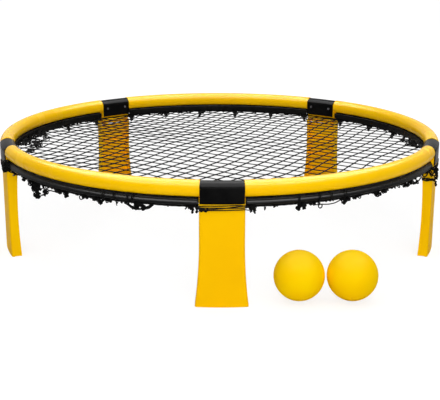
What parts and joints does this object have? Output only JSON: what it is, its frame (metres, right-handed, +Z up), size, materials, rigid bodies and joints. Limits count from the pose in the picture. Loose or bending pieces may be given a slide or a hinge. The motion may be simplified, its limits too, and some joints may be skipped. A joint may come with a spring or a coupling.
{
  "type": "roundnet set",
  "caption": "Low round lawn-game hoop of joined tubes on folding legs, with a stretched net hooked under the rim and small bouncy balls.",
  "frame": {"origin": "on the ground, under the middle of the hoop", "axes": "+Z up, -Y towards the viewer and through the front leg, +X to the viewer's right"},
  "size_m": [0.914, 0.92, 0.2266],
  "materials": {
    "yellow_tube": "satin extruded tube",
    "yellow_moulding": "satin moulding",
    "black_saddle": "gloss",
    "black_rail": "satin",
    "screw_steel": "plain",
    "net_netting": "braided cord",
    "net_cord": "braided cord",
    "ball_skin": "smooth satin",
    "ball_valve": "smooth"
  },
  "bodies": {
    "frame_and_net": {"rim_tube_front_right": "yellow_tube", "rim_tube_right_back": "yellow_tube", "rim_tube_back": "yellow_tube", "rim_tube_left_back": "yellow_tube", "rim_tube_front_left": "yellow_tube", "joint_core_front": "yellow_moulding", "joint_core_right": "yellow_moulding", "joint_core_back_right": "yellow_moulding", "joint_core_back_left": "yellow_moulding", "joint_core_left": "yellow_moulding", "joint_saddle_front": "black_saddle", "joint_saddle_right": "black_saddle", "joint_saddle_back_right": "black_saddle", "joint_saddle_back_left": "black_saddle", "joint_saddle_left": "black_saddle", "saddle_screws_front": "screw_steel", "saddle_screws_right": "screw_steel", "saddle_screws_back_right": "screw_steel", "saddle_screws_back_left": "screw_steel", "saddle_screws_left": "screw_steel", "hinge_pin_front": "screw_steel", "hinge_pin_right": "screw_steel", "hinge_pin_back_right": "screw_steel", "hinge_pin_back_left": "screw_steel", "hinge_pin_left": "screw_steel", "hook_rail_front_right": "black_rail", "hook_rail_right_back": "black_rail", "hook_rail_back": "black_rail", "hook_rail_left_back": "black_rail", "hook_rail_front_left": "black_rail", "rail_screws_front_right": "screw_steel", "rail_screws_right_back": "screw_steel", "rail_screws_back": "screw_steel", "rail_screws_left_back": "screw_steel", "rail_screws_front_left": "screw_steel", "net": "net_netting", "net_edge_cord": "net_cord"},
    "leg_front": {"leg_front": "yellow_moulding"},
    "leg_right": {"leg_right": "yellow_moulding"},
    "leg_back_right": {"leg_back_right": "yellow_moulding"},
    "leg_back_left": {"leg_back_left": "yellow_moulding"},
    "leg_left": {"leg_left": "yellow_moulding"},
    "ball_left": {"ball_left": "ball_skin", "ball_valve_left": "ball_valve"},
    "ball_right": {"ball_right": "ball_skin", "ball_valve_right": "ball_valve"}
  },
  "joints": [
    {"name": "leg_front_fold", "type": "hinge", "parent": "frame_and_net", "child": "leg_front", "pos_m": [0, -0.441, 0.166], "axis": [1, 0, 0], "range_deg": [0, 90]},
    {"name": "leg_right_fold", "type": "hinge", "parent": "frame_and_net", "child": "leg_right", "pos_m": [0.41942, -0.13628, 0.166], "axis": [0.309, 0.9511, 0], "range_deg": [0, 90]},
    {"name": "leg_back_right_fold", "type": "hinge", "parent": "frame_and_net", "child": "leg_back_right", "pos_m": [0.25921, 0.35678, 0.166], "axis": [-0.809, 0.5878, 0], "range_deg": [0, 90]},
    {"name": "leg_back_left_fold", "type": "hinge", "parent": "frame_and_net", "child": "leg_back_left", "pos_m": [-0.25921, 0.35678, 0.166], "axis": [-0.809, -0.5878, 0], "range_deg": [0, 90]},
    {"name": "leg_left_fold", "type": "hinge", "parent": "frame_and_net", "child": "leg_left", "pos_m": [-0.41942, -0.13628, 0.166], "axis": [0.309, -0.9511, 0], "range_deg": [0, 90]},
    {"name": "ball_left_roll_out", "type": "slide", "parent": "frame_and_net", "child": "ball_left", "axis": [0, -1, 0], "range_m": [-0.15, 0.25]},
    {"name": "ball_right_roll_out", "type": "slide", "parent": "frame_and_net", "child": "ball_right", "axis": [0, -1, 0], "range_m": [-0.15, 0.25]}
  ]
}
